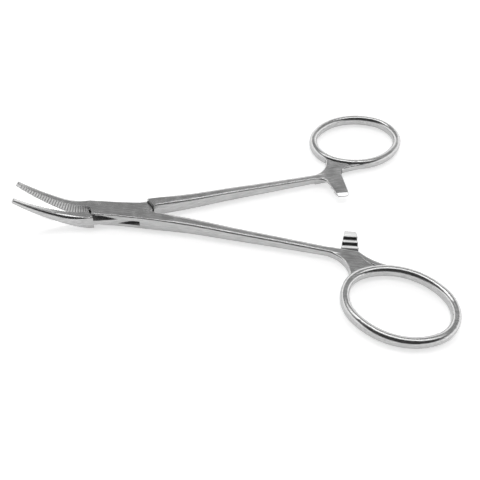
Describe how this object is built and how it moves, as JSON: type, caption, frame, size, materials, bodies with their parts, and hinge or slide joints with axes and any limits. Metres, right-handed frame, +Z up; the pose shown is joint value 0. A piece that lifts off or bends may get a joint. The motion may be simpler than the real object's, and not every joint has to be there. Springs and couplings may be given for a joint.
{
  "type": "hemostat forceps",
  "caption": "Curved box-lock artery forceps with finger rings, interlocking ratchet bars and serrated jaws, shown half open; clamps small vessels and holds itself shut.",
  "frame": {"origin": "On the pivot axis, in the plane that the forceps lies on.", "axes": "+X runs along the closed centre line from the pivot to the finger rings, +Z is up from the plane that the forceps lies on and is the pivot axis, +Y is to the left of +X."},
  "size_m": [0.1219, 0.0958, 0.0118],
  "materials": {
    "steel": "satin, nearly mirror-bright from fine polishing",
    "pin_steel": "satin, ground flush with the cheeks"
  },
  "bodies": {
    "box_half": {"box_half": "steel", "pivot_pin": "pin_steel"},
    "inner_half": {"inner_half": "steel"}
  },
  "joints": [
    {"name": "jaw_pivot", "type": "hinge", "parent": "box_half", "child": "inner_half", "pos_m": [0, 0, 0], "axis": [0, 0, 1], "range_deg": [-11.8, 48.2]}
  ]
}
